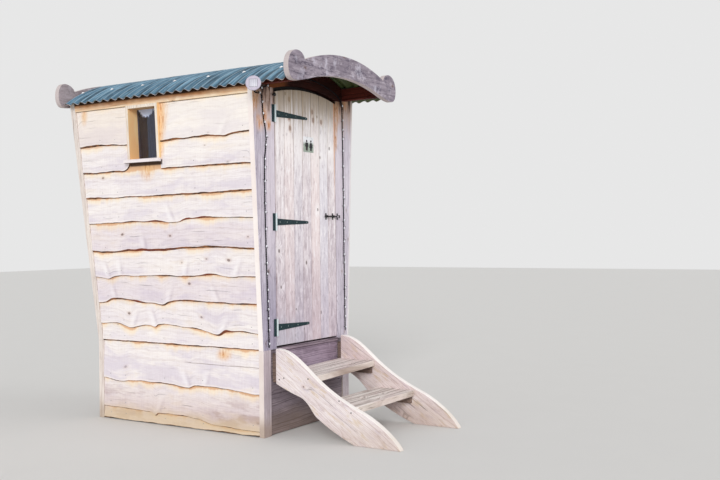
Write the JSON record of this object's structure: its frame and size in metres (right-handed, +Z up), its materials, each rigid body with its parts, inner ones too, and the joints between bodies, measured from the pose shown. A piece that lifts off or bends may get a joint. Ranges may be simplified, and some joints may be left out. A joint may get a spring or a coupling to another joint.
{
  "type": "wooden outhouse",
  "caption": "Small wooden outhouse with leaning walls, curved corrugated roof, arched hinged door, side window and plank steps.",
  "frame": {"origin": "on the ground, in the middle of the front wall's framing", "axes": "+Z up, +Y from the front to the rear, +X to the right as seen from the front"},
  "size_m": [1.4115, 2.7175, 2.508],
  "materials": {
    "cladding_wood": "sawn and weathered",
    "trim_wood": "planed softwood, pale",
    "front_wood": "weathered grey",
    "door_wood": "weathered grey",
    "dark_wood": "stained dark",
    "step_wood": "weathered",
    "fascia_wood": "weathered grey",
    "roof_timber": "stained dark brown",
    "floor_wood": "planed",
    "roof_metal": "satin",
    "hinge_metal": "satin",
    "bolt_metal": "satin",
    "window_glass": "clear",
    "panel_plastic": "gloss",
    "string_plastic": "matte"
  },
  "bodies": {
    "hut": {"base_left_wall": "cladding_wood", "base_right_wall": "cladding_wood", "base_rear_wall": "cladding_wood", "base_front_wall": "cladding_wood", "lower_front_corner_boards": "front_wood", "lower_rear_corner_boards": "trim_wood", "floor_deck": "floor_wood", "door_sill": "dark_wood", "riser_panel": "dark_wood", "left_wall": "cladding_wood", "right_wall": "cladding_wood", "rear_wall": "cladding_wood", "front_wall_left": "cladding_wood", "front_wall_right": "cladding_wood", "front_wall_head": "cladding_wood", "front_corner_board_left": "front_wood", "front_corner_board_right": "front_wood", "door_jamb_left": "front_wood", "door_jamb_right": "front_wood", "header_board": "front_wood", "rear_corner_boards": "trim_wood", "eave_boards": "trim_wood", "window_frame": "trim_wood", "window_sill": "trim_wood", "window_glass": "window_glass", "roof_purlins": "roof_timber", "roof_sheet_front": "roof_metal", "roof_sheet_middle": "roof_metal", "roof_sheet_rear": "roof_metal", "front_fascia": "fascia_wood", "rear_fascia": "fascia_wood", "left_stringer": "step_wood", "right_stringer": "step_wood", "upper_tread": "step_wood", "lower_tread": "step_wood", "step_cleats": "step_wood", "hinge_plates": "hinge_metal", "bolt_keeper": "bolt_metal", "solar_panel": "panel_plastic", "light_string": "string_plastic"},
    "door": {"door_leaf": "door_wood", "door_ledges": "door_wood", "hinge_straps": "hinge_metal", "bolt_guides": "bolt_metal"},
    "bolt": {"bolt_rod": "bolt_metal"}
  },
  "joints": [
    {"name": "door_hinge", "type": "hinge", "parent": "hut", "child": "door", "pos_m": [-0.363, -0.0795, 1.402], "axis": [0, 0, -1], "range_deg": [0, 100]},
    {"name": "bolt_slide", "type": "slide", "parent": "door", "child": "bolt", "axis": [1, 0, 0], "range_m": [0, 0.024]}
  ]
}
